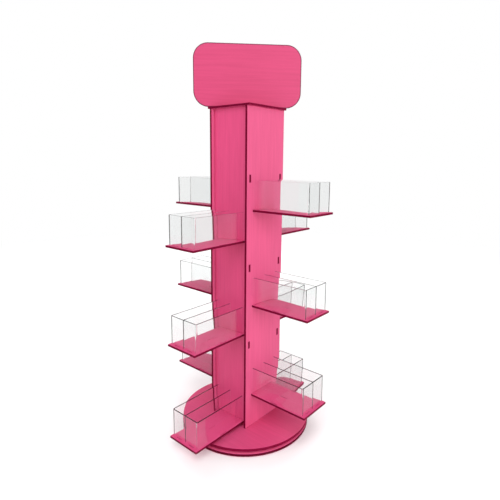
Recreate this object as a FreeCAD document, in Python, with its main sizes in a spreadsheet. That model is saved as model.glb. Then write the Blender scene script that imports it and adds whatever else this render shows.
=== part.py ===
import FreeCAD, Part
import math
import os

from FreeCAD import Placement, Rotation, Vector

# Rotating countertop display rack, flat-pack sheet construction.
#
# A round base disc rests on four rubber feet and carries the fixed outer ring
# of a thin ball bearing.  The inner ring is screwed to a turntable disc.  On
# the turntable stands a square hollow column of four sheet panels: the two
# side panels (+X, -X) run the full width and stand proud of the front and back
# panels, whose tabs come through slots in them.  Six shelf boards pass right
# through the column, three along X and three along Y at other heights, and
# each end of a board carries a U-shaped clear fence with a divider.  A plate
# closes the column and a rounded header board stands diagonally on it.
#
# Frame: origin on the standing surface under the turning axis, +Z up, +X the
# outward normal of the right panel, -Y the outward normal of the front panel.
# Millimetres.

doc = FreeCAD.newDocument("RotatingDisplayRack")

# ---------------------------------------------------------------- spreadsheet
DIMENSIONS = [
    # alias, value, meaning
    ("foot_height", 3, "height of a rubber foot"),
    ("foot_rad_low", 10, "foot radius at the floor"),
    ("foot_rad_top", 11, "foot radius under the base disc"),
    ("foot_circle", 150, "radius of the circle of feet"),
    ("disc_thick", 6.5, "base disc and turntable sheet thickness"),
    ("base_rad", 172, "base disc radius"),
    ("turn_rad", 173, "turntable disc radius"),
    ("bearing_gap", 8, "height of the ball bearing"),
    ("ball_rad", 2.5, "bearing ball radius"),
    ("race_play", 0.05, "radial play between ball and race"),
    ("ball_pitch", 60, "radius of the ball circle"),
    ("ball_count", 24, "number of balls"),
    ("ring_half_gap", 1.2, "half of the gap between the two rings"),
    ("ring_outer_rad", 74, "outside radius of the outer ring"),
    ("ring_inner_rad", 44, "bore radius of the inner ring"),
    ("ring_relief", 0.8, "axial gap between a ring and the disc it does not touch"),
    ("cage_half", 0.5, "half thickness of the ball cage"),
    ("cage_height", 6.2, "height of the ball cage"),
    ("screw_rad", 2, "screw shank radius"),
    ("screw_head_rad", 3.9, "countersunk head radius"),
    ("screw_head_deep", 2.2, "countersunk head depth"),
    ("screw_long", 11.5, "screw length over all"),
    ("screw_circle_low", 68, "radius of the lower screw circle"),
    ("screw_circle_up", 51, "radius of the upper screw circle"),
    ("recess_wide", 0.9, "cross recess width"),
    ("recess_long", 4.2, "cross recess length"),
    ("recess_deep", 1.3, "cross recess depth"),
    ("wall", 6, "column panel thickness"),
    ("face_x", 62, "outer face of the side panels from the axis"),
    ("face_y", 61, "outer face of the front and back panels from the axis"),
    ("side_half", 70, "half width of a side panel"),
    ("column_high", 810, "column panel height"),
    ("foot_tab_wide", 30, "width of a panel tab into turntable or top plate"),
    ("foot_tab_off", 35, "offset of those tabs from the panel centre"),
    ("front_tab_wide", 40, "width of the single tab of a front or back panel"),
    ("joint_tab_high", 18, "height of a panel joint tab"),
    ("joint_one", 226, "height of the lowest joint tab centre above the turntable"),
    ("joint_two", 425, "height of the middle joint tab centre"),
    ("joint_three", 643, "height of the highest joint tab centre"),
    ("board_thick", 5, "shelf, top plate and header sheet thickness"),
    ("board_half", 47.5, "half width of a shelf board"),
    ("shelf_reach", 165, "reach of a shelf from the panel face"),
    ("shelf_first_y", 7, "underside of the lowest front-back board above the turntable"),
    ("shelf_rise", 76, "rise from a front-back board to the side board above it"),
    ("shelf_pitch", 240, "height from one shelf to the next on the same face"),
    ("clear_thick", 3, "clear sheet thickness"),
    ("fence_high", 70, "fence height above the shelf"),
    ("fence_set_side", 2.5, "fence set in from the board's long edge"),
    ("fence_set_end", 7.5, "fence set in from the board's end"),
    ("bend_out", 4.5, "outside radius of the fence bends"),
    ("bend_in", 1.5, "inside radius of the fence bends"),
    ("side_tab_from", 62, "start of the fence side tab from the panel face"),
    ("side_tab_long", 20, "length of a fence or divider tab"),
    ("end_tab_off", 22, "offset of the fence end tabs from the centre line"),
    ("end_tab_wide", 16, "width of a fence end tab"),
    ("plate_half_x", 69, "half length of the top plate"),
    ("plate_half_y", 70, "half width of the top plate"),
    ("header_half", 133, "half width of the header board"),
    ("header_high", 150, "height of the header board"),
    ("header_round", 37, "corner radius of the header board"),
    ("header_tab_off", 45, "offset of the header tabs from its centre"),
    ("header_tab_wide", 25, "width of a header tab"),
    ("header_tab_deep", 14, "depth of a header tab below the board"),
    ("header_turn", 45, "angle of the header board about the axis, degrees"),
]

sheet = doc.addObject("Spreadsheet::Sheet", "Dims")
sheet.Label = "Dims"
for row, (alias, value, meaning) in enumerate(DIMENSIONS, start=1):
    sheet.set("A%d" % row, meaning)
    sheet.set("B%d" % row, str(value))
    sheet.setAlias("B%d" % row, alias)
doc.recompute()


class Quantity:
    """A length that carries both its spreadsheet expression and its value."""

    def __init__(self, text, value):
        self.text = text
        self.value = float(value)

    def __add__(self, other):
        other = quantity(other)
        return Quantity("(%s + %s)" % (self.text, other.text), self.value + other.value)

    def __sub__(self, other):
        other = quantity(other)
        return Quantity("(%s - %s)" % (self.text, other.text), self.value - other.value)

    def __mul__(self, other):
        other = quantity(other)
        return Quantity("(%s * %s)" % (self.text, other.text), self.value * other.value)

    def __truediv__(self, other):
        other = quantity(other)
        return Quantity("(%s / %s)" % (self.text, other.text), self.value / other.value)

    def __neg__(self):
        return Quantity("(0 - %s)" % self.text, -self.value)

    def times_cos(self, degrees):
        return Quantity("(%s * cos(%.6f deg))" % (self.text, degrees), self.value * math.cos(math.radians(degrees)))

    def times_sin(self, degrees):
        return Quantity("(%s * sin(%.6f deg))" % (self.text, degrees), self.value * math.sin(math.radians(degrees)))


def quantity(item):
    if isinstance(item, Quantity):
        return item
    return Quantity("%.6f" % float(item), item)


DIM = {}
for alias, value, meaning in DIMENSIONS:
    DIM[alias] = Quantity("Dims." + alias, value)


def dim(alias):
    return DIM[alias]


# Heights used by several pieces.
z_base_low = dim("foot_height")
z_base_top = z_base_low + dim("disc_thick")
z_turn_low = z_base_top + dim("bearing_gap")
z_turn_top = z_turn_low + dim("disc_thick")
z_balls = z_base_top + dim("bearing_gap") / 2
z_column_top = z_turn_top + dim("column_high")
z_plate_top = z_column_top + dim("board_thick")

PARTS = []


def part(obj, label):
    obj.Label = label
    PARTS.append(obj)
    return obj


def bind(obj, prop, item):
    obj.setExpression(prop, quantity(item).text)


# ------------------------------------------------------------ sketch helpers
def origin_plane(body, role):
    for feature in body.Origin.OriginFeatures:
        if feature.Role == role:
            return feature
    raise RuntimeError("no plane " + role)


def pin_point(sketch, geo, pos, x, y):
    """Fix a sketch point at spreadsheet-driven coordinates."""
    for axis, item in (("X", quantity(x)), ("Y", quantity(y))):
        if abs(item.value) < 1e-9:
            sketch.addConstraint(_on_axis(geo, pos, axis))
        else:
            index = sketch.addConstraint(_distance(geo, pos, axis, item.value))
            sketch.setExpression("Constraints[%d]" % index, item.text)


def _on_axis(geo, pos, axis):
    import Sketcher
    return Sketcher.Constraint("PointOnObject", geo, pos, -2 if axis == "X" else -1)


def _distance(geo, pos, axis, value):
    import Sketcher
    return Sketcher.Constraint("Distance" + axis, -1, 1, geo, pos, value)


def draw_polygon(sketch, points):
    import Sketcher
    values = [Vector(quantity(x).value, quantity(y).value, 0) for x, y in points]
    first = None
    count = len(values)
    indices = []
    for i in range(count):
        indices.append(sketch.addGeometry(Part.LineSegment(values[i], values[(i + 1) % count]), False))
    for i in range(count):
        sketch.addConstraint(Sketcher.Constraint("Coincident", indices[i], 2, indices[(i + 1) % count], 1))
    for i in range(count):
        pin_point(sketch, indices[i], 1, points[i][0], points[i][1])
    return first


def draw_box(sketch, x0, x1, y0, y1):
    draw_polygon(sketch, [(x0, y0), (x1, y0), (x1, y1), (x0, y1)])


def draw_circle(sketch, x, y, radius):
    import Sketcher
    radius = quantity(radius)
    geo = sketch.addGeometry(Part.Circle(Vector(quantity(x).value, quantity(y).value, 0), Vector(0, 0, 1), radius.value), False)
    pin_point(sketch, geo, 3, x, y)
    index = sketch.addConstraint(Sketcher.Constraint("Radius", geo, radius.value))
    sketch.setExpression("Constraints[%d]" % index, radius.text)


def new_body(name):
    return doc.addObject("PartDesign::Body", name)


def new_sketch(body, name, role="XY_Plane"):
    sketch = body.newObject("Sketcher::SketchObject", name)
    sketch.AttachmentSupport = (origin_plane(body, role), [""])
    sketch.MapMode = "FlatFace"
    return sketch


def pad(body, sketch, length, reverse=False):
    feature = body.newObject("PartDesign::Pad", sketch.Name + "_pad")
    feature.Profile = sketch
    bind(feature, "Length", length)
    feature.Reversed = reverse
    sketch.Visibility = False
    body.Tip = feature
    return feature


def pocket(body, sketch, reverse=True):
    """Cut right through the plate that lies above the sketch plane."""
    feature = body.newObject("PartDesign::Pocket", sketch.Name + "_cut")
    feature.Profile = sketch
    feature.Type = "ThroughAll"
    feature.Reversed = reverse
    sketch.Visibility = False
    body.Tip = feature
    return feature


def fillet(body, base, radius, wanted):
    """Round the upright edges of base whose plan position is in wanted."""
    doc.recompute()
    names = []
    for number, edge in enumerate(base.Shape.Edges, start=1):
        if len(edge.Vertexes) != 2:
            continue
        first, last = edge.Vertexes[0].Point, edge.Vertexes[1].Point
        if abs(first.x - last.x) > 1e-6 or abs(first.y - last.y) > 1e-6:
            continue
        for x, y in wanted:
            if abs(first.x - quantity(x).value) < 1e-4 and abs(first.y - quantity(y).value) < 1e-4:
                names.append("Edge%d" % number)
    if len(names) != len(wanted):
        raise RuntimeError("expected %d edges to round on %s, found %d" % (len(wanted), body.Name, len(names)))
    feature = body.newObject("PartDesign::Fillet", base.Name + "_round")
    feature.Base = (base, names)
    bind(feature, "Radius", radius)
    body.Tip = feature
    return feature


def place(obj, x=0, y=0, z=0, rotation=None):
    obj.Placement = Placement(Vector(quantity(x).value, quantity(y).value, quantity(z).value), rotation or Rotation())
    for axis, item in (("x", x), ("y", y), ("z", z)):
        if isinstance(item, Quantity):
            obj.setExpression("Placement.Base." + axis, item.text)


def cylinder(name, radius, height, x=0, y=0, z=0):
    obj = doc.addObject("Part::Cylinder", name)
    bind(obj, "Radius", radius)
    bind(obj, "Height", height)
    place(obj, x, y, z)
    return obj


def cone(name, low, high, height, x=0, y=0, z=0):
    obj = doc.addObject("Part::Cone", name)
    bind(obj, "Radius1", low)
    bind(obj, "Radius2", high)
    bind(obj, "Height", height)
    place(obj, x, y, z)
    return obj


def fuse(name, shapes):
    obj = doc.addObject("Part::MultiFuse", name)
    obj.Shapes = shapes
    return obj


def cut(name, base, tool):
    obj = doc.addObject("Part::Cut", name)
    obj.Base = base
    obj.Tool = tool
    return obj


def compound(name, shapes):
    obj = doc.addObject("Part::Compound", name)
    obj.Links = shapes
    return obj


# -------------------------------------------------------------------- screws
def screw(name, head_up):
    """Countersunk machine screw about the local z axis, head face at z = 0."""
    long = dim("screw_long")
    deep = dim("screw_head_deep")
    if head_up:
        head = cone(name + "_head", dim("screw_rad"), dim("screw_head_rad"), deep, z=-deep)
        shank = cylinder(name + "_shank", dim("screw_rad"), long - deep, z=-long)
    else:
        head = cone(name + "_head", dim("screw_head_rad"), dim("screw_rad"), deep)
        shank = cylinder(name + "_shank", dim("screw_rad"), long - deep, z=deep)
    blank = fuse(name + "_blank", [head, shank])
    bars = []
    for turn in (0, 90):
        bar = doc.addObject("Part::Box", name + "_recess%d" % turn)
        bind(bar, "Length", dim("recess_long"))
        bind(bar, "Width", dim("recess_wide"))
        bind(bar, "Height", dim("recess_deep"))
        bar.Placement = Placement(Vector(0, 0, 0), Rotation(Vector(0, 0, 1), turn))
        half_long = dim("recess_long") / 2
        half_wide = dim("recess_wide") / 2
        if turn == 0:
            bind(bar, "Placement.Base.x", -half_long)
            bind(bar, "Placement.Base.y", -half_wide)
        else:
            bind(bar, "Placement.Base.x", half_wide)
            bind(bar, "Placement.Base.y", -half_long)
        if head_up:
            bind(bar, "Placement.Base.z", -dim("recess_deep"))
        bars.append(bar)
    return cut(name, blank, fuse(name + "_cross", bars))


def screw_cutter(name, head_up, x, y, z):
    """The hole that fits one screw: countersink and shank bore."""
    long = dim("screw_long")
    deep = dim("screw_head_deep")
    if head_up:
        head = cone(name + "_sink", dim("screw_rad"), dim("screw_head_rad"), deep, x, y, z - deep)
        bore = cylinder(name + "_bore", dim("screw_rad"), long - deep, x, y, z - long)
    else:
        head = cone(name + "_sink", dim("screw_head_rad"), dim("screw_rad"), deep, x, y, z)
        bore = cylinder(name + "_bore", dim("screw_rad"), long - deep, x, y, z + deep)
    return fuse(name, [head, bore])


DIAGONALS = (45, 135, 225, 315)


def screw_set(label, head_up, circle, z):
    screws = []
    for number, angle in enumerate(DIAGONALS, start=1):
        item = screw("%s_%d" % (label, number), head_up)
        place(item, circle.times_cos(angle), circle.times_sin(angle), z)
        screws.append(item)
    return part(compound(label + "_group", screws), label)


def screw_holes(name, head_up, circle, z):
    cutters = []
    for number, angle in enumerate(DIAGONALS, start=1):
        cutters.append(screw_cutter("%s_%d" % (name, number), head_up, circle.times_cos(angle), circle.times_sin(angle), z))
    return compound(name, cutters)


# ---------------------------------------------------------- base and bearing
feet = []
for number, angle in enumerate(DIAGONALS, start=1):
    feet.append(cone("foot_%d" % number, dim("foot_rad_low"), dim("foot_rad_top"), dim("foot_height"),
                     dim("foot_circle").times_cos(angle), dim("foot_circle").times_sin(angle)))
part(compound("foot_group", feet), "rubber_feet")

body = new_body("base_blank")
sketch = new_sketch(body, "base_outline")
draw_circle(sketch, 0, 0, dim("base_rad"))
pad(body, sketch, dim("disc_thick"))
place(body, z=z_base_low)
part(cut("base_drilled", body, screw_holes("base_holes", False, dim("screw_circle_low"), z_base_low)), "base_disc")


def ring(name, inner, outer, low, high):
    """A bearing ring turned from a square section, with a round race cut in it."""
    body = new_body(name + "_blank")
    sketch = new_sketch(body, name + "_section", "XZ_Plane")
    draw_box(sketch, inner, outer, low, high)
    feature = body.newObject("PartDesign::Revolution", name + "_turned")
    feature.Profile = sketch
    feature.ReferenceAxis = (sketch, ["V_Axis"])
    feature.Angle = 360
    sketch.Visibility = False
    body.Tip = feature
    race = new_sketch(body, name + "_race", "XZ_Plane")
    draw_circle(race, dim("ball_pitch"), z_balls, dim("ball_rad") + dim("race_play"))
    groove = body.newObject("PartDesign::Groove", name + "_raced")
    groove.Profile = race
    groove.ReferenceAxis = (race, ["V_Axis"])
    groove.Angle = 360
    race.Visibility = False
    body.Tip = groove
    return body


outer_blank = ring("outer", dim("ball_pitch") + dim("ring_half_gap"), dim("ring_outer_rad"),
                   z_base_top, z_turn_low - dim("ring_relief"))
part(cut("outer_drilled", outer_blank, screw_holes("outer_holes", False, dim("screw_circle_low"), z_base_low)),
     "bearing_outer_ring")

inner_blank = ring("inner", dim("ring_inner_rad"), dim("ball_pitch") - dim("ring_half_gap"),
                   z_base_top + dim("ring_relief"), z_turn_low)
part(cut("inner_drilled", inner_blank, screw_holes("inner_holes", True, dim("screw_circle_up"), z_turn_top)),
     "bearing_inner_ring")

body = new_body("cage_body")
sketch = new_sketch(body, "cage_outline")
draw_circle(sketch, 0, 0, dim("ball_pitch") + dim("cage_half"))
draw_circle(sketch, 0, 0, dim("ball_pitch") - dim("cage_half"))
pad(body, sketch, dim("cage_height"))
hole = new_sketch(body, "cage_hole", "YZ_Plane")
draw_circle(hole, 0, dim("cage_height") / 2, dim("ball_rad") + dim("race_play"))
doc.recompute()
window = body.newObject("PartDesign::Pocket", "cage_window")
window.Profile = hole
window.Type = "ThroughAll"
window.Reversed = True
hole.Visibility = False
body.Tip = window
doc.recompute()
pattern = body.newObject("PartDesign::PolarPattern", "cage_windows")
pattern.Originals = [window]
for feature in body.Origin.OriginFeatures:
    if feature.Role == "Z_Axis":
        pattern.Axis = (feature, [""])
pattern.Angle = 360
bind(pattern, "Occurrences", dim("ball_count"))
body.Tip = pattern
place(body, z=z_balls - dim("cage_height") / 2)
part(body, "bearing_cage")

balls = []
count = int(dim("ball_count").value)
for number in range(count):
    ball = doc.addObject("Part::Sphere", "ball_%d" % (number + 1))
    bind(ball, "Radius", dim("ball_rad"))
    place(ball, dim("ball_pitch").times_cos(360.0 * number / count), dim("ball_pitch").times_sin(360.0 * number / count), z_balls)
    balls.append(ball)
part(compound("ball_group", balls), "bearing_balls")

screw_set("bearing_screws_lower", False, dim("screw_circle_low"), z_base_low)
screw_set("bearing_screws_upper", True, dim("screw_circle_up"), z_turn_top)


# ------------------------------------------------------ turntable and column
def draw_column_slots(sketch):
    """Slots for the tabs at the ends of the four column panels."""
    inner_x = dim("face_x") - dim("wall")
    inner_y = dim("face_y") - dim("wall")
    near = dim("foot_tab_off") - dim("foot_tab_wide") / 2
    far = dim("foot_tab_off") + dim("foot_tab_wide") / 2
    half = dim("front_tab_wide") / 2
    draw_box(sketch, inner_x, dim("face_x"), near, far)
    draw_box(sketch, inner_x, dim("face_x"), -far, -near)
    draw_box(sketch, -dim("face_x"), -inner_x, near, far)
    draw_box(sketch, -dim("face_x"), -inner_x, -far, -near)
    draw_box(sketch, -half, half, inner_y, dim("face_y"))
    draw_box(sketch, -half, half, -dim("face_y"), -inner_y)


body = new_body("turntable_blank")
sketch = new_sketch(body, "turntable_outline")
draw_circle(sketch, 0, 0, dim("turn_rad"))
pad(body, sketch, dim("disc_thick"))
slots = new_sketch(body, "turntable_slots")
draw_column_slots(slots)
pocket(body, slots)
place(body, z=z_turn_low)
part(cut("turntable_drilled", body, screw_holes("turntable_holes", True, dim("screw_circle_up"), z_turn_top)),
     "turntable_disc")

JOINTS = ("joint_one", "joint_two", "joint_three")


def shelf_height(side_board, level):
    """Underside of a shelf board above the turntable; level counts from 0."""
    height = dim("shelf_first_y") + dim("shelf_pitch") * level
    if side_board:
        height = height + dim("shelf_rise")
    return height


def draw_shelf_slots(sketch, side_board):
    for level in range(3):
        low = shelf_height(side_board, level)
        draw_box(sketch, -dim("board_half"), dim("board_half"), low, low + dim("board_thick"))


def add_end_tabs(body, name, spans):
    """Tabs into the turntable below and the top plate above."""
    tabs = new_sketch(body, name + "_tabs")
    for start, stop in spans:
        draw_box(tabs, start, stop, -dim("disc_thick"), dim("wall") / 2)
        draw_box(tabs, start, stop, dim("column_high") - dim("wall") / 2, dim("column_high") + dim("board_thick"))
    pad(body, tabs, dim("wall"))


def side_panel(label, turn):
    body = new_body(label + "_body")
    outline = new_sketch(body, label + "_outline")
    draw_box(outline, -dim("side_half"), dim("side_half"), 0, dim("column_high"))
    pad(body, outline, dim("wall"))
    near = dim("foot_tab_off") - dim("foot_tab_wide") / 2
    far = dim("foot_tab_off") + dim("foot_tab_wide") / 2
    add_end_tabs(body, label, [(near, far), (-far, -near)])
    slots = new_sketch(body, label + "_slots")
    inner = dim("face_y") - dim("wall")
    half = dim("joint_tab_high") / 2
    for joint in JOINTS:
        draw_box(slots, inner, dim("face_y"), dim(joint) - half, dim(joint) + half)
        draw_box(slots, -dim("face_y"), -inner, dim(joint) - half, dim(joint) + half)
    draw_shelf_slots(slots, True)
    pocket(body, slots)
    upright = Rotation(Vector(0, 0, 1), turn).multiply(Rotation(Vector(1, 1, 1), 120))
    base = dim("face_x") - dim("wall")
    place(body, base if turn == 0 else -base, 0, z_turn_top, upright)
    return part(body, label)


def cross_panel(label, turn):
    body = new_body(label + "_body")
    outline = new_sketch(body, label + "_outline")
    inner = dim("face_x") - dim("wall")
    draw_box(outline, -inner, inner, 0, dim("column_high"))
    pad(body, outline, dim("wall"))
    half = dim("front_tab_wide") / 2
    add_end_tabs(body, label, [(-half, half)])
    tabs = new_sketch(body, label + "_joints")
    rise = dim("joint_tab_high") / 2
    root = inner - dim("wall") / 2
    for joint in JOINTS:
        draw_box(tabs, root, dim("face_x"), dim(joint) - rise, dim(joint) + rise)
        draw_box(tabs, -dim("face_x"), -root, dim(joint) - rise, dim(joint) + rise)
    pad(body, tabs, dim("wall"))
    slots = new_sketch(body, label + "_slots")
    draw_shelf_slots(slots, False)
    pocket(body, slots)
    upright = Rotation(Vector(0, 0, 1), turn).multiply(Rotation(Vector(1, 0, 0), 90))
    base = dim("face_y") - dim("wall")
    place(body, 0, -base if turn == 0 else base, z_turn_top, upright)
    return part(body, label)


side_panel("column_panel_right", 0)
side_panel("column_panel_left", 180)
cross_panel("column_panel_front", 0)
cross_panel("column_panel_back", 180)

# ------------------------------------------------- shelf boards and fences
# Plan of the fence tabs, measured from the panel face along the shelf.
fence_outer = dim("board_half") - dim("fence_set_side")
fence_inner = fence_outer - dim("clear_thick")
fence_end = dim("shelf_reach") - dim("fence_set_end")
fence_back = fence_end - dim("clear_thick")


def tab_plan(from_face, to_face, sign):
    """Rectangles of the three kinds of tab on one end of a board."""
    start = from_face + dim("side_tab_from")
    stop = start + dim("side_tab_long")
    low = dim("end_tab_off") - dim("end_tab_wide") / 2
    high = dim("end_tab_off") + dim("end_tab_wide") / 2
    half = dim("clear_thick") / 2
    back = from_face + fence_back
    end = from_face + fence_end
    plan = {
        "fence": [(start, stop, fence_inner, fence_outer), (start, stop, -fence_outer, -fence_inner),
                  (back, end, low, high), (back, end, -high, -low)],
        "divider": [(start, stop, -half, half)],
    }
    if sign < 0:
        for kind in plan:
            plan[kind] = [(-x1, -x0, y0, y1) for x0, x1, y0, y1 in plan[kind]]
    return plan


def shelf_board(label, side_board, level):
    face = dim("face_x") if side_board else dim("face_y")
    reach = face + dim("shelf_reach")
    body = new_body(label + "_body")
    outline = new_sketch(body, label + "_outline")
    draw_box(outline, -reach, reach, -dim("board_half"), dim("board_half"))
    pad(body, outline, dim("board_thick"))
    slots = new_sketch(body, label + "_slots")
    for sign in (1, -1):
        plan = tab_plan(face, reach, sign)
        for kind in ("fence", "divider"):
            for x0, x1, y0, y1 in plan[kind]:
                draw_box(slots, x0, x1, y0, y1)
    pocket(body, slots)
    place(body, z=z_turn_top + shelf_height(side_board, level),
          rotation=Rotation(Vector(0, 0, 1), 0 if side_board else 90))
    return part(body, label)


def stand_on_shelf(body, side_board, level, turn):
    face = dim("face_x") if side_board else dim("face_y")
    height = z_turn_top + shelf_height(side_board, level) + dim("board_thick")
    x = face if turn == 0 else -face if turn == 180 else 0
    y = face if turn == 90 else -face if turn == 270 else 0
    place(body, x, y, height, Rotation(Vector(0, 0, 1), turn))


def fence(label, side_board, level, turn):
    """Clear sheet bent into a U, open towards the column, with tabs below."""
    body = new_body(label + "_body")
    outline = new_sketch(body, label + "_outline")
    draw_polygon(outline, [(0, fence_outer), (0, fence_inner), (fence_back, fence_inner), (fence_back, -fence_inner),
                           (0, -fence_inner), (0, -fence_outer), (fence_end, -fence_outer), (fence_end, fence_outer)])
    wall = pad(body, outline, dim("fence_high"))
    outside = fillet(body, wall, dim("bend_out"), [(fence_end, fence_outer), (fence_end, -fence_outer)])
    fillet(body, outside, dim("bend_in"), [(fence_back, fence_inner), (fence_back, -fence_inner)])
    tabs = new_sketch(body, label + "_tabs")
    for x0, x1, y0, y1 in tab_plan(quantity(0), None, 1)["fence"]:
        draw_box(tabs, x0, x1, y0, y1)
    pad(body, tabs, dim("board_thick"), reverse=True)
    stand_on_shelf(body, side_board, level, turn)
    return part(body, label)


def divider(label, side_board, level, turn):
    """Flat clear sheet that splits a pocket in two, with one tab below."""
    body = new_body(label + "_body")
    outline = new_sketch(body, label + "_outline")
    half = dim("clear_thick") / 2
    draw_box(outline, 0, fence_back, -half, half)
    pad(body, outline, dim("fence_high"))
    tabs = new_sketch(body, label + "_tabs")
    for x0, x1, y0, y1 in tab_plan(quantity(0), None, 1)["divider"]:
        draw_box(tabs, x0, x1, y0, y1)
    pad(body, tabs, dim("board_thick"), reverse=True)
    stand_on_shelf(body, side_board, level, turn)
    return part(body, label)


LEVELS = ("low", "middle", "high")
for level, word in enumerate(LEVELS):
    shelf_board("shelf_board_cross_" + word, True, level)
    shelf_board("shelf_board_deep_" + word, False, level)

FACES = (("right", True, 0), ("back", False, 90), ("left", True, 180), ("front", False, 270))
for level, word in enumerate(LEVELS):
    for face_name, side_board, turn in FACES:
        fence("fence_%s_%s" % (face_name, word), side_board, level, turn)
        divider("divider_%s_%s" % (face_name, word), side_board, level, turn)

# ------------------------------------------------------ top plate and header
body = new_body("plate_blank")
sketch = new_sketch(body, "plate_outline")
draw_box(sketch, -dim("plate_half_x"), dim("plate_half_x"), -dim("plate_half_y"), dim("plate_half_y"))
pad(body, sketch, dim("board_thick"))
slots = new_sketch(body, "plate_slots")
draw_column_slots(slots)
pocket(body, slots)
place(body, z=z_column_top)
header_slots = []
for sign in (1, -1):
    slot = doc.addObject("Part::Box", "header_slot_" + ("a" if sign > 0 else "b"))
    bind(slot, "Length", dim("header_tab_wide"))
    bind(slot, "Width", dim("board_thick"))
    bind(slot, "Height", dim("board_thick"))
    # The corner of the slot, turned with the board about the axis.
    start = dim("header_tab_off") * sign - dim("header_tab_wide") / 2
    half = dim("board_thick") / 2
    turn = dim("header_turn").value
    slot.Placement = Placement(Vector(0, 0, 0), Rotation(Vector(0, 0, 1), turn))
    slot.setExpression("Placement.Base.x", "%s * cos(Dims.header_turn * 1 deg) + %s * sin(Dims.header_turn * 1 deg)" % (start.text, half.text))
    slot.setExpression("Placement.Base.y", "%s * sin(Dims.header_turn * 1 deg) - %s * cos(Dims.header_turn * 1 deg)" % (start.text, half.text))
    bind(slot, "Placement.Base.z", z_column_top)
    header_slots.append(slot)
part(cut("plate_cut", body, compound("header_slot_pair", header_slots)), "top_plate")

body = new_body("header_body")
sketch = new_sketch(body, "header_outline")
draw_box(sketch, -dim("header_half"), dim("header_half"), 0, dim("header_high"))
board = pad(body, sketch, dim("board_thick"))
corners = [(-dim("header_half"), 0), (dim("header_half"), 0),
           (-dim("header_half"), dim("header_high")), (dim("header_half"), dim("header_high"))]
fillet(body, board, dim("header_round"), corners)
tabs = new_sketch(body, "header_tabs")
for sign in (1, -1):
    middle = dim("header_tab_off") * sign
    draw_box(tabs, middle - dim("header_tab_wide") / 2, middle + dim("header_tab_wide") / 2,
             -dim("header_tab_deep"), dim("board_thick"))
pad(body, tabs, dim("board_thick"))
turn = dim("header_turn").value
half = dim("board_thick") / 2
body.Placement = Placement(Vector(0, 0, 0), Rotation(Vector(0, 0, 1), turn).multiply(Rotation(Vector(1, 0, 0), 90)))
body.setExpression("Placement.Base.x", "(0 - %s) * sin(Dims.header_turn * 1 deg)" % half.text)
body.setExpression("Placement.Base.y", "%s * cos(Dims.header_turn * 1 deg)" % half.text)
bind(body, "Placement.Base.z", z_plate_top)
part(body, "header_board")

# ------------------------------------------------------------ check and write
doc.recompute()
for obj in doc.Objects:
    for flag in ("Invalid", "Error"):
        if flag in obj.State:
            raise RuntimeError("%s (%s) is %s" % (obj.Name, obj.Label, obj.State))
labels = set()
for obj in PARTS:
    if obj.Shape.isNull() or not obj.Shape.isValid():
        raise RuntimeError("bad shape: " + obj.Label)
    if obj.Label in labels:
        raise RuntimeError("label used twice: " + obj.Label)
    labels.add(obj.Label)

os.makedirs("parts", exist_ok=True)
for old in os.listdir("parts"):
    if old.endswith(".step"):
        os.remove(os.path.join("parts", old))
for obj in PARTS:
    obj.Shape.exportStep("parts/%s.step" % obj.Label)
    box = obj.Shape.BoundBox
    print("%-28s solids %2d  vol %10.1f  x %8.2f %8.2f  y %8.2f %8.2f  z %7.2f %7.2f" % (
        obj.Label, len(obj.Shape.Solids), obj.Shape.Volume, box.XMin, box.XMax, box.YMin, box.YMax, box.ZMin, box.ZMax))
print("nodes", len(PARTS))
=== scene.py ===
import math

import bmesh
import bpy
from mathutils import Matrix, Vector


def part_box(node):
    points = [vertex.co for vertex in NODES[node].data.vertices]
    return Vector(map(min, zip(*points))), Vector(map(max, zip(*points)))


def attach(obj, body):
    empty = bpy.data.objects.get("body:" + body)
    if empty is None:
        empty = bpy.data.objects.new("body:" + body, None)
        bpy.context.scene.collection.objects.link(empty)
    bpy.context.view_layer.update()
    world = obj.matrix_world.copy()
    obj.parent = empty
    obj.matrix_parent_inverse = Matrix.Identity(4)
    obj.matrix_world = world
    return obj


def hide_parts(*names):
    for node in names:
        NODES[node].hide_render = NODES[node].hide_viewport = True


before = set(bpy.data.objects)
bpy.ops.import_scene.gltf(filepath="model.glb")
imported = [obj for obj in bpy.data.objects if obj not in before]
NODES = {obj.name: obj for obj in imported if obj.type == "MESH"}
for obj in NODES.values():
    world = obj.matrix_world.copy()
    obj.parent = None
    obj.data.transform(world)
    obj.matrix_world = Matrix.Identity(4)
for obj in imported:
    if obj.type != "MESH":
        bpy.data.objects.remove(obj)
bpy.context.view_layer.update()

scene = bpy.context.scene
MM = 0.001

# --------------------------------------------------------------------- camera
# Angles as turn about the vertical, tilt below the horizon and roll.
YAW, PITCH, ROLL = (math.radians(v) for v in (40.17, 9.44, 0.61))
EYE = Vector((0.7278, -0.8185, 0.7073))
FOCAL_SHARE = 424.9 / 500.0
SHIFT = (-0.0148, -0.0360)

forward = Vector((-math.sin(YAW) * math.cos(PITCH), math.cos(YAW) * math.cos(PITCH), -math.sin(PITCH)))
right = forward.cross(Vector((0, 0, 1))).normalized()
up = right.cross(forward)
right_rolled = math.cos(ROLL) * right + math.sin(ROLL) * up
up_rolled = -math.sin(ROLL) * right + math.cos(ROLL) * up
camera_data = bpy.data.cameras.new("camera")
camera_data.sensor_width = 36.0
camera_data.lens = 36.0 * FOCAL_SHARE
camera_data.shift_x, camera_data.shift_y = SHIFT
camera_data.clip_start = 0.02
camera_data.clip_end = 60.0
camera = bpy.data.objects.new("camera", camera_data)
scene.collection.objects.link(camera)
turn = Matrix((right_rolled, up_rolled, -forward)).transposed().to_4x4()
camera.matrix_world = Matrix.Translation(EYE) @ turn
scene.camera = camera

# ---------------------------------------------------------- material helpers


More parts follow.
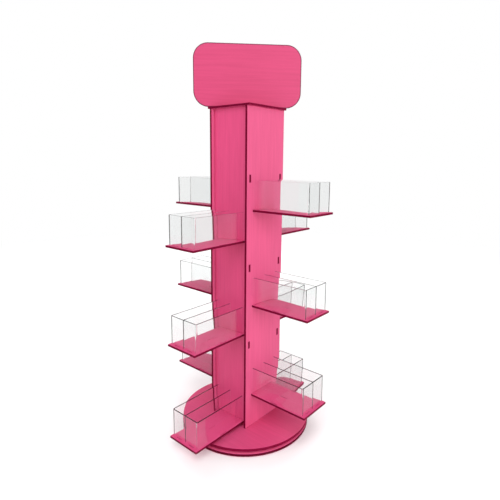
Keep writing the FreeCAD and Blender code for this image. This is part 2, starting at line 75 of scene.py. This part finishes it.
class Tree:
    """A short way to write node trees."""

    def __init__(self, name):
        self.material = bpy.data.materials.new(name)
        self.material.use_nodes = True
        self.tree = self.material.node_tree
        self.tree.nodes.clear()
        self.output = self.add("ShaderNodeOutputMaterial")

    def add(self, kind, **settings):
        node = self.tree.nodes.new(kind)
        for key, value in settings.items():
            setattr(node, key, value)
        return node

    def link(self, source, target):
        self.tree.links.new(source, target)

    def value(self, socket, item):
        """Sets a socket to a number or links another socket to it."""
        if isinstance(item, bpy.types.NodeSocket):
            self.link(item, socket)
        else:
            socket.default_value = item

    def coords(self, rotation=(0, 0, 0), scale=(1, 1, 1), offset=(0, 0, 0)):
        """Object coordinates turned first and then scaled."""
        source = self.add("ShaderNodeTexCoord")
        turned = self.add("ShaderNodeMapping", vector_type="POINT")
        turned.inputs["Rotation"].default_value = rotation
        self.link(source.outputs["Object"], turned.inputs["Vector"])
        scaled = self.add("ShaderNodeMapping", vector_type="POINT")
        scaled.inputs["Scale"].default_value = scale
        scaled.inputs["Location"].default_value = offset
        self.link(turned.outputs["Vector"], scaled.inputs["Vector"])
        return scaled.outputs["Vector"]

    def noise(self, vector, scale=1.0, detail=2.0, roughness=0.5, distortion=0.0):
        node = self.add("ShaderNodeTexNoise")
        node.inputs["Scale"].default_value = scale
        node.inputs["Detail"].default_value = detail
        node.inputs["Roughness"].default_value = roughness
        node.inputs["Distortion"].default_value = distortion
        self.link(vector, node.inputs["Vector"])
        return node.outputs["Fac"]

    def math(self, operation, a, b=0.0, c=0.0, clamp=False):
        node = self.add("ShaderNodeMath", operation=operation, use_clamp=clamp)
        self.value(node.inputs[0], a)
        self.value(node.inputs[1], b)
        self.value(node.inputs[2], c)
        return node.outputs[0]

    def spread(self, fac, low, high, to_low=0.0, to_high=1.0):
        node = self.add("ShaderNodeMapRange")
        node.clamp = True
        self.value(node.inputs["Value"], fac)
        for key, item in (("From Min", low), ("From Max", high), ("To Min", to_low), ("To Max", to_high)):
            node.inputs[key].default_value = item
        return node.outputs["Result"]

    def mix(self, fac, a, b, blend="MIX"):
        node = self.add("ShaderNodeMix", data_type="RGBA", blend_type=blend)
        self.value(node.inputs["Factor"], fac)
        for socket, item in ((node.inputs["A"], a), (node.inputs["B"], b)):
            pass
        colour_a = [s for s in node.inputs if s.name == "A" and s.type == "RGBA"][0]
        colour_b = [s for s in node.inputs if s.name == "B" and s.type == "RGBA"][0]
        self.value(colour_a, a)
        self.value(colour_b, b)
        return [s for s in node.outputs if s.type == "RGBA"][0]

    def bump(self, height, strength, distance, normal=None):
        node = self.add("ShaderNodeBump")
        node.inputs["Strength"].default_value = strength
        node.inputs["Distance"].default_value = distance
        self.link(height, node.inputs["Height"])
        if normal is not None:
            self.link(normal, node.inputs["Normal"])
        return node.outputs["Normal"]

    def principled(self, **inputs):
        node = self.add("ShaderNodeBsdfPrincipled")
        for key, item in inputs.items():
            self.value(node.inputs[key.replace("_", " ")], item)
        self.link(node.outputs["BSDF"], self.output.inputs["Surface"])
        return node


def rgb(r, g, b):
    return (r, g, b, 1.0)


def turn_for(grain, through):
    """The turn that brings object coordinates to (along the grain, across it, through the sheet)."""
    grain, through = Vector(grain).normalized(), Vector(through).normalized()
    return tuple(Matrix((grain, through.cross(grain), through)).to_euler("XYZ"))


def painted_face(name, rotation, seed, tint=(1.0, 1.0, 1.0), outline=None):
    """Pink paint brushed over thin plywood: the grain and brush marks show as faint streaks.

    outline gives the direction along the sheet, its centre height, its half sizes and its corner
    radius, for a sheet whose cut has stained the rim of its face.
    """
    t = Tree(name)
    place = (seed * 1.37, seed * 0.71, seed * 2.3)
    streaks = t.noise(t.coords(rotation, (9, 210, 210), place), detail=3.0, roughness=0.55)
    fibres = t.noise(t.coords(rotation, (30, 1500, 1500), place), detail=2.0, roughness=0.6)
    clouds = t.noise(t.coords(rotation, (5, 9, 9), place), detail=2.0)
    specks = t.noise(t.coords(rotation, (900, 900, 900), place), detail=1.0)
    tone = t.math("ADD", t.math("MULTIPLY", t.spread(streaks, 0.32, 0.68), 0.55),
                  t.math("ADD", t.math("MULTIPLY", t.spread(fibres, 0.3, 0.7), 0.2),
                         t.math("MULTIPLY", t.spread(clouds, 0.3, 0.7), 0.25)))
    # tint scales the paint per board and carries painted light, shade and sheen.
    colour = t.mix(tone, rgb(*(a * b for a, b in zip(tint, PAINT_LOW))), rgb(*(a * b for a, b in zip(tint, PAINT_HIGH))))
    if outline:
        along, centre, half_wide, half_high, radius = outline
        source = t.add("ShaderNodeTexCoord")
        split = t.add("ShaderNodeSeparateXYZ")
        t.link(source.outputs["Object"], split.inputs["Vector"])
        u = t.math("ABSOLUTE", t.math("ADD", t.math("MULTIPLY", split.outputs["X"], along[0]),
                                      t.math("MULTIPLY", split.outputs["Y"], along[1])))
        v = t.math("ABSOLUTE", t.math("SUBTRACT", split.outputs["Z"], centre))
        a = t.math("SUBTRACT", u, half_wide - radius)
        b = t.math("SUBTRACT", v, half_high - radius)
        a_out, b_out = t.math("MAXIMUM", a, 0.0), t.math("MAXIMUM", b, 0.0)
        corner = t.math("SQRT", t.math("ADD", t.math("MULTIPLY", a_out, a_out), t.math("MULTIPLY", b_out, b_out)))
        inside = t.math("MINIMUM", t.math("MAXIMUM", a, b), 0.0)
        depth = t.math("SUBTRACT", t.math("ADD", corner, inside), radius)
        stain = t.math("ADD", depth, t.math("MULTIPLY", t.math("SUBTRACT", specks, 0.5), 0.0006))
        colour = t.mix(t.spread(stain, -0.0024, -0.0016, 0.0, 0.92), colour, rgb(0.10, 0.004, 0.028))
    rough = t.spread(t.math("ADD", t.math("MULTIPLY", streaks, 0.6), t.math("MULTIPLY", specks, 0.4)), 0.3, 0.7, 0.42, 0.56)
    height = t.math("ADD", t.math("MULTIPLY", streaks, 0.5), t.math("ADD", t.math("MULTIPLY", fibres, 0.35), t.math("MULTIPLY", specks, 0.15)))
    t.principled(Base_Color=colour, Roughness=rough, Normal=t.bump(height, 0.22, 0.0004),
                 Specular_IOR_Level=0.28)
    return t.material


def cut_edge(name, rotation, seed, depth=1.0):
    """Laser-cut edge stained crimson: fine marks across the sheet, faint plies along it."""
    t = Tree(name)
    place = (seed * 0.91, seed * 1.13, seed * 1.7)
    marks = t.noise(t.coords(rotation, (1100, 1100, 35), place), detail=2.0)
    plies = t.noise(t.coords(rotation, (6, 6, 900), place), detail=1.0)
    scorch = t.noise(t.coords(rotation, (45, 45, 90), place), detail=3.0)
    tone = t.math("ADD", t.math("MULTIPLY", t.spread(marks, 0.3, 0.7), 0.35),
                  t.math("ADD", t.math("MULTIPLY", t.spread(plies, 0.35, 0.65), 0.3),
                         t.math("MULTIPLY", t.spread(scorch, 0.3, 0.7), 0.35)))
    colour = t.mix(tone, rgb(*(depth * c for c in EDGE_LOW)), rgb(*(depth * c for c in EDGE_HIGH)))
    height = t.math("ADD", t.math("MULTIPLY", marks, 0.7), t.math("MULTIPLY", plies, 0.3))
    t.principled(Base_Color=colour, Roughness=t.spread(marks, 0.3, 0.7, 0.45, 0.62),
                 Normal=t.bump(height, 0.35, 0.0003), Specular_IOR_Level=0.04)
    return t.material


def acrylic(name, roughness, tint, fine, ior=1.49):
    """Clear cast sheet. The cut edges use a rougher, faintly greyer version of it, and the foot
    that rests on a board has no optical step, as where a clear sheet is bedded on paint."""
    t = Tree(name)
    haze = t.noise(t.coords(scale=(fine, fine, fine * 0.25)), detail=2.0)
    colour = t.mix(t.spread(haze, 0.3, 0.7), rgb(*tint), rgb(*(min(1.0, c * 1.015) for c in tint)))
    ripple = t.noise(t.coords(scale=(9, 9, 9)), detail=0.0)
    glass = t.principled(Base_Color=colour, Roughness=t.spread(haze, 0.3, 0.7, roughness, roughness * 1.6 + 0.004),
                         IOR=ior, Transmission_Weight=1.0, Normal=t.bump(ripple, 0.015, 0.002), Specular_IOR_Level=0.5)
    # Lamps shine through the sheet, as they do through the real one.
    lamp = t.add("ShaderNodeLightPath")
    clear = t.add("ShaderNodeBsdfTransparent")
    clear.inputs["Color"].default_value = (0.94, 0.95, 0.95, 1)
    mixed = t.add("ShaderNodeMixShader")
    t.link(lamp.outputs["Is Shadow Ray"], mixed.inputs[0])
    t.link(glass.outputs["BSDF"], mixed.inputs[1])
    t.link(clear.outputs["BSDF"], mixed.inputs[2])
    t.link(mixed.outputs[0], t.output.inputs["Surface"])
    return t.material


def turned_steel(name, base, roughness):
    """Bright steel with fine lathe rings about the turning axis."""
    t = Tree(name)
    source = t.add("ShaderNodeTexCoord")
    split = t.add("ShaderNodeSeparateXYZ")
    t.link(source.outputs["Object"], split.inputs["Vector"])
    radius = t.math("SQRT", t.math("ADD", t.math("MULTIPLY", split.outputs["X"], split.outputs["X"]),
                                   t.math("MULTIPLY", split.outputs["Y"], split.outputs["Y"])))
    around = t.add("ShaderNodeCombineXYZ")
    t.link(t.math("MULTIPLY", radius, 2600.0), around.inputs["X"])
    t.link(t.math("MULTIPLY", split.outputs["Z"], 900.0), around.inputs["Y"])
    rings = t.noise(around.outputs["Vector"], detail=2.0)
    smear = t.noise(t.coords(scale=(60, 60, 60)), detail=3.0)
    colour = t.mix(t.spread(smear, 0.35, 0.65), rgb(*(c * 0.9 for c in base)), rgb(*base))
    t.principled(Base_Color=colour, Metallic=1.0, Roughness=t.spread(rings, 0.3, 0.7, roughness, roughness + 0.14),
                 Normal=t.bump(rings, 0.15, 0.0001))
    return t.material


def moulded(name, low, high, roughness, grain):
    t = Tree(name)
    fine = t.noise(t.coords(scale=(grain, grain, grain)), detail=3.0)
    dust = t.noise(t.coords(scale=(70, 70, 70)), detail=3.0)
    colour = t.mix(t.spread(dust, 0.35, 0.7), rgb(*low), rgb(*high))
    t.principled(Base_Color=colour, Roughness=t.spread(fine, 0.3, 0.7, roughness, roughness + 0.12),
                 Normal=t.bump(fine, 0.3, 0.0002))
    return t.material


PAINT_LOW = (0.54, 0.046, 0.150)
PAINT_HIGH = (0.64, 0.062, 0.190)
EDGE_LOW = (0.11, 0.0002, 0.014)
EDGE_HIGH = (0.19, 0.0008, 0.030)

CLEAR = acrylic("clear_sheet", 0.006, (0.968, 0.974, 0.973), 300)
CLEAR_EDGE = acrylic("clear_sheet_edge", 0.16, (0.90, 0.92, 0.925), 900)
CLEAR_FOOT = acrylic("clear_sheet_foot", 0.0, (0.98, 0.98, 0.98), 900, ior=1.0)
STEEL = turned_steel("bearing_steel", (0.62, 0.62, 0.63), 0.22)
ZINC = turned_steel("screw_zinc", (0.66, 0.65, 0.62), 0.3)
CAGE = moulded("cage_plastic", (0.62, 0.60, 0.54), (0.72, 0.70, 0.64), 0.45, 1800)
RUBBER = moulded("foot_rubber", (0.018, 0.018, 0.019), (0.045, 0.044, 0.043), 0.62, 2500)

# --------------------------------------------------------- painted CAD boards
BEVEL = 0.35 * MM


def soften(obj, width, segments=2, angle=35.0, edge_slot=-1):
    """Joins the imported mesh, rounds its sharp edges slightly and shades it by face area."""
    weld = obj.modifiers.new("weld", "WELD")
    weld.merge_threshold = 2e-6
    bevel = obj.modifiers.new("bevel", "BEVEL")
    bevel.width = width
    bevel.segments = segments
    bevel.limit_method = "ANGLE"
    bevel.angle_limit = math.radians(angle)
    bevel.material = edge_slot
    bevel.harden_normals = False
    shade = obj.modifiers.new("shade", "WEIGHTED_NORMAL")
    shade.mode = "FACE_AREA"
    shade.weight = 60
    shade.keep_sharp = False


def dress_board(node, thickness_axis, face, edge, rim=BEVEL):
    obj = NODES[node]
    mesh = obj.data
    mesh.materials.clear()
    mesh.materials.append(face)
    mesh.materials.append(edge)
    axis = Vector(thickness_axis).normalized()
    inner_low, inner_high = (corner + inset * Vector((1, 1, 1)) for corner, inset in zip(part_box(node), (2 * MM, -2 * MM)))
    for polygon in mesh.polygons:
        through_slot = node.startswith("shelf") and all(
            inner_low[i] < polygon.center[i] < inner_high[i] for i in (0, 1))
        polygon.material_index = 0 if abs(polygon.normal.dot(axis)) > 0.9 or through_slot else 1
    soften(obj, rim, edge_slot=1)


BOARDS = []
X, Y, Z = (1, 0, 0), (0, 1, 0), (0, 0, 1)
for side, seed in (("right", 1), ("left", 2)):
    BOARDS.append(("column_panel_" + side, Z, X, seed))
for side, seed in (("front", 3), ("back", 4)):
    BOARDS.append(("column_panel_" + side, Z, Y, seed))
for level, seed in (("low", 5), ("middle", 6), ("high", 7)):
    BOARDS.append(("shelf_board_cross_" + level, X, Z, seed))
    BOARDS.append(("shelf_board_deep_" + level, Y, Z, seed + 3))
BOARDS.append(("base_disc", X, Z, 11))
BOARDS.append(("turntable_disc", X, Z, 12))
BOARDS.append(("top_plate", X, Z, 13))
BOARDS.append(("header_board", (1, 1, 0), (1, -1, 0), 14))
# Each board's paint is scaled by its own tint, which is painted light, shade and sheen rather than a difference in the
# paint: the base disc is much lighter, a painted light on its top ring that lies in the turntable's shade; the
# turntable and the left and right panels are paler, a painted sheen; the header is darker, a painted shade.
PAINTED_LIGHT_TINT = {"header_board": (0.82, 0.79, 0.76), "base_disc": (1.46, 2.6, 1.9), "turntable_disc": (1.0, 1.18, 1.05),
              "column_panel_front": (1.02, 1.04, 1.0), "column_panel_right": (0.98, 1.35, 1.07),
              "column_panel_left": (1.08, 1.7, 1.3)}
EDGE_DEPTH = {"base_disc": 0.6, "turntable_disc": 1.1, "header_board": 0.5}
header_to_own = NODES["header_board"].matrix_world.inverted()
header_middle = header_to_own @ Vector((0, 0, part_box("header_board")[1].z - 75.0 * MM))
HEADER_OUTLINE = ((math.sqrt(0.5), math.sqrt(0.5)), header_middle.z, 133.0 * MM, 75.0 * MM, 37.0 * MM)
for node, grain, through, seed in BOARDS:
    turn = turn_for(grain, through)
    face = painted_face("paint_" + node, turn, seed, PAINTED_LIGHT_TINT.get(node, (1.0, 1.0, 1.0)),
                        HEADER_OUTLINE if node == "header_board" else None)
    edge = cut_edge("cut_" + node, turn, seed, EDGE_DEPTH.get(node, 0.9))
    dress_board(node, through, face, edge, 0.8 * MM if node == "header_board" else BEVEL)

# ------------------------------------------------------- clear fences, dividers
SHEET = 3.0 * MM
REST_GAP = 0.06 * MM
FENCE_HIGH = 70.0 * MM


def prism_strip(name, stations, wall_top, tab_low, closed_ends=True):
    """A wall that follows a plan path.

    stations is a list of (outer point, inner point, is the stretch after it a tab).
    The wall stands from z 0 to wall_top and its tabs reach down to tab_low. Its first end, and with
    closed_ends its last end too, stands against a panel.
    """
    work = bmesh.new()
    rows = []
    for outer, inner, tab in stations:
        row = {}
        for key, (x, y) in (("o", outer), ("i", inner)):
            for level, z in (("t", wall_top), ("m", 0.0), ("b", tab_low)):
                row[key + level] = (x, y, z)
        rows.append(row)
    made = {}

    def vertex(point):
        key = tuple(round(c, 8) for c in point)
        if key not in made:
            made[key] = work.verts.new(point)
        return made[key]

    def quad(points, slot):
        face = work.faces.new([vertex(p) for p in points])
        face.material_index = slot
        face.smooth = True
        return face

    for index in range(len(stations) - 1):
        a, b, tab = rows[index], rows[index + 1], stations[index][2]
        quad((a["ot"], b["ot"], b["it"], a["it"]), 1)
        quad((a["om"], b["om"], b["ot"], a["ot"]), 0)
        quad((b["im"], a["im"], a["it"], b["it"]), 0)
        if tab:
            quad((a["ob"], b["ob"], b["om"], a["om"]), 0)
            quad((b["ib"], a["ib"], a["im"], b["im"]), 0)
            quad((b["ob"], a["ob"], a["ib"], b["ib"]), 2)
        else:
            quad((b["om"], a["om"], a["im"], b["im"]), 2)
        before = stations[index - 1][2] if index else False
        if tab and not before:
            quad((a["ib"], a["ob"], a["om"], a["im"]), 1)
        if before and not tab:
            quad((a["ob"], a["ib"], a["im"], a["om"]), 1)
    first, last = rows[0], rows[-1]
    quad((first["im"], first["om"], first["ot"], first["it"]), 2)
    quad((last["om"], last["im"], last["it"], last["ot"]), 2 if closed_ends else 1)
    bmesh.ops.recalc_face_normals(work, faces=work.faces)
    weight = work.edges.layers.float.new("bevel_weight_edge")
    for edge in work.edges:
        standing_edge = max(v.co.z for v in edge.verts) > 1e-6 and max(v.co.x for v in edge.verts) > stations[0][0][0] + 1e-6
        edge[weight] = 1.0 if standing_edge and edge.calc_face_angle(0.0) > math.radians(40) else 0.0
    mesh = bpy.data.meshes.new(name)
    work.to_mesh(mesh)
    work.free()
    mesh.materials.append(CLEAR)
    mesh.materials.append(CLEAR_EDGE)
    mesh.materials.append(CLEAR_FOOT)
    return mesh


def stand(mesh, name, node, turn_degrees, face, height, nodes):
    obj = bpy.data.objects.new(name, mesh)
    scene.collection.objects.link(obj)
    angle = math.radians(turn_degrees)
    offset = Vector((face * math.cos(angle), face * math.sin(angle), height + REST_GAP))
    obj.matrix_world = Matrix.Translation(offset) @ Matrix.Rotation(angle, 4, "Z")
    bevel = obj.modifiers.new("bevel", "BEVEL")
    bevel.width = 0.3 * MM
    bevel.segments = 2
    bevel.limit_method = "WEIGHT"
    bevel.harden_normals = False
    shade = obj.modifiers.new("shade", "WEIGHTED_NORMAL")
    shade.mode = "FACE_AREA"
    shade.weight = 60
    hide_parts(*nodes)
    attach(obj, "rotor")
    return obj


def fence_stations(start, length, half):
    """Plan of the bent U: along the first wall, round the two bends and back."""
    outer_bend, inner_bend = 4.5 * MM, 1.5 * MM
    wall_in = half - SHEET
    centre_x, centre_y = length - outer_bend, half - outer_bend
    slack = 0.1 * MM
    side_tab = (62.0 * MM + slack, 82.0 * MM - slack)
    end_tab = (14.0 * MM + slack, 30.0 * MM - slack)
    path = []
    for x in (start, side_tab[0], side_tab[1]):
        path.append(((x, half), (x, wall_in), x == side_tab[0]))
    steps = 14
    for step in range(steps + 1):
        angle = math.radians(90.0 * (1 - step / steps))
        c, s = math.cos(angle), math.sin(angle)
        path.append(((centre_x + outer_bend * c, centre_y + outer_bend * s),
                     (centre_x + inner_bend * c, centre_y + inner_bend * s), False))
    for y in (end_tab[1], end_tab[0], -end_tab[0], -end_tab[1]):
        path.append(((length, y), (length - SHEET, y), y in (end_tab[1], -end_tab[0])))
    for step in range(steps + 1):
        angle = math.radians(-90.0 * step / steps)
        c, s = math.cos(angle), math.sin(angle)
        path.append(((centre_x + outer_bend * c, -centre_y + outer_bend * s),
                     (centre_x + inner_bend * c, -centre_y + inner_bend * s), False))
    for x in (side_tab[1], side_tab[0], start):
        path.append(((x, -half), (x, -wall_in), x == side_tab[1]))
    return path


def divider_stations(start, length):
    half = SHEET / 2
    slack = 0.1 * MM
    path = []
    for x in (start, 62.0 * MM + slack, 82.0 * MM - slack, length):
        path.append(((x, half), (x, -half), abs(x - (62.0 * MM + slack)) < 1e-9))
    return path


LEVELS = ("low", "middle", "high")
FACES = (("right", 0), ("back", 90), ("left", 180), ("front", 270))
fence_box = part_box("fence_right_low")
divider_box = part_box("divider_right_low")
half_width = fence_box[1].y
side_face = fence_box[0].x
deep_face = -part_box("fence_front_low")[1].y
fence_length = fence_box[1].x - side_face
divider_length = divider_box[1].x - side_face
fence_mesh = prism_strip("fence_sheet", fence_stations(0.15 * MM, fence_length, half_width),
                         FENCE_HIGH - REST_GAP, -4.9 * MM)
divider_mesh = prism_strip("divider_sheet", divider_stations(0.15 * MM, divider_length - 0.05 * MM),
                           FENCE_HIGH - REST_GAP, -4.9 * MM, closed_ends=False)
for level in LEVELS:
    for face_name, degrees in FACES:
        face = side_face if degrees in (0, 180) else deep_face
        node = "fence_%s_%s" % (face_name, level)
        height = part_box(node)[1].z - FENCE_HIGH
        stand(fence_mesh, "clear_" + node, node, degrees, face, height, [node])
        node = "divider_%s_%s" % (face_name, level)
        stand(divider_mesh, "clear_" + node, node, degrees, face, height, [node])

# ------------------------------------------------------------ small hardware
for node, material, width in (("bearing_outer_ring", STEEL, 0.25), ("bearing_inner_ring", STEEL, 0.25),
                              ("bearing_balls", STEEL, 0.0), ("bearing_cage", CAGE, 0.1),
                              ("bearing_screws_lower", ZINC, 0.12), ("bearing_screws_upper", ZINC, 0.12),
                              ("rubber_feet", RUBBER, 0.5)):
    obj = NODES[node]
    obj.data.materials.clear()
    obj.data.materials.append(material)
    if width:
        soften(obj, width * MM)

# --------------------------------------------------------------- stage, light
WORLD, MIRRORED, BACKDROP = 0.35, 0.5, 1.0


def surroundings(tree):
    """Strength of the studio around the rack: bright where it is looked at, directly or through the
    clear sheets, half as bright in reflections, and low as light, so that the lamps shape the object."""
    def step(operation, *items):
        node = tree.nodes.new("ShaderNodeMath")
        node.operation = operation
        for socket, item in zip(node.inputs, items):
            if isinstance(item, bpy.types.NodeSocket):
                tree.links.new(item, socket)
            else:
                socket.default_value = item
        return node.outputs[0]

    path = tree.nodes.new("ShaderNodeLightPath")
    looked_at = step("LESS_THAN", path.outputs["Diffuse Depth"], 0.5)
    bounced = step("GREATER_THAN", path.outputs["Glossy Depth"], 0.5)
    level = step("MULTIPLY_ADD", bounced, MIRRORED - BACKDROP, BACKDROP - WORLD)
    return step("MULTIPLY_ADD", looked_at, level, WORLD)


def floor_material():
    """White near the rack and as bright as the backdrop far from it, so that no horizon shows."""
    t = Tree("stage_floor")
    source = t.add("ShaderNodeTexCoord")
    length = t.add("ShaderNodeVectorMath", operation="LENGTH")
    t.link(source.outputs["Object"], length.inputs[0])
    far = t.add("ShaderNodeMapRange", interpolation_type="SMOOTHSTEP")
    t.link(length.outputs["Value"], far.inputs["Value"])
    far.inputs["From Min"].default_value = 0.9
    far.inputs["From Max"].default_value = 3.2
    diffuse = t.add("ShaderNodeBsdfDiffuse")
    path = t.add("ShaderNodeLightPath")
    bounced = t.math("GREATER_THAN", path.outputs["Glossy Depth"], 0.5)
    t.link(t.mix(bounced, rgb(0.85, 0.85, 0.85), rgb(0.4, 0.4, 0.4)), diffuse.inputs["Color"])
    lift = t.add("ShaderNodeEmission")
    lift.inputs["Color"].default_value = (1, 1, 1, 1)
    lift.inputs["Strength"].default_value = 0.1
    near = t.add("ShaderNodeAddShader")
    t.link(diffuse.outputs[0], near.inputs[0])
    t.link(lift.outputs[0], near.inputs[1])
    glow = t.add("ShaderNodeEmission")
    glow.inputs["Color"].default_value = (1, 1, 1, 1)
    t.link(surroundings(t.tree), glow.inputs["Strength"])
    mixed = t.add("ShaderNodeMixShader")
    t.link(far.outputs["Result"], mixed.inputs[0])
    t.link(near.outputs[0], mixed.inputs[1])
    t.link(glow.outputs[0], mixed.inputs[2])
    t.link(mixed.outputs[0], t.output.inputs["Surface"])
    return t.material


floor_mesh = bpy.data.meshes.new("stage_floor")
work = bmesh.new()
bmesh.ops.create_circle(work, cap_ends=True, segments=96, radius=14.0)
work.to_mesh(floor_mesh)
work.free()
floor = bpy.data.objects.new("stage_floor", floor_mesh)
floor.location = (0, 0, -0.0003)
scene.collection.objects.link(floor)
floor_mesh.materials.append(floor_material())

world = bpy.data.worlds.new("studio")
world.use_nodes = True
tree = world.node_tree
tree.nodes.clear()
out = tree.nodes.new("ShaderNodeOutputWorld")
lit = tree.nodes.new("ShaderNodeBackground")
lit.inputs["Color"].default_value = (1.0, 1.0, 1.0, 1)
tree.links.new(surroundings(tree), lit.inputs["Strength"])
tree.links.new(lit.outputs[0], out.inputs["Surface"])
scene.world = world


def softbox(name, position, target, size, power, shine=True):
    data = bpy.data.lights.new(name, "AREA")
    data.shape = "RECTANGLE"
    data.size, data.size_y = size
    data.energy = power
    data.color = (1.0, 1.0, 1.0)
    obj = bpy.data.objects.new(name, data)
    scene.collection.objects.link(obj)
    obj.visible_camera = False
    obj.visible_transmission = False
    obj.visible_glossy = shine
    direction = Vector(target) - Vector(position)
    obj.matrix_world = Matrix.Translation(position) @ direction.to_track_quat("-Z", "Y").to_matrix().to_4x4()
    return obj


softbox("key", (3.3, -0.6, 0.95), (0, 0, 0.2), (2.6, 1.9), 84)
softbox("fill", (-1.4, -3.0, 1.5), (0, 0, 0.45), (2.2, 2.0), 44, shine=False)
softbox("high", (1.2, -1.75, 2.9), (0, 0, 0.0), (2.0, 2.0), 54)
softbox("far_right", (2.3, 2.5, 0.95), (0, 0, 0.45), (2.4, 1.5), 28, shine=False)
softbox("far_left", (-3.1, 0.9, 1.7), (0, 0, 0.45), (2.2, 2.0), 46, shine=False)
softbox("back", (-1.6, 2.9, 1.2), (0, 0, 0.55), (2.2, 1.8), 60, shine=False)

scene.view_settings.view_transform = "Standard"
scene.view_settings.look = "None"
scene.view_settings.exposure = 0.0
scene.view_settings.gamma = 1.0
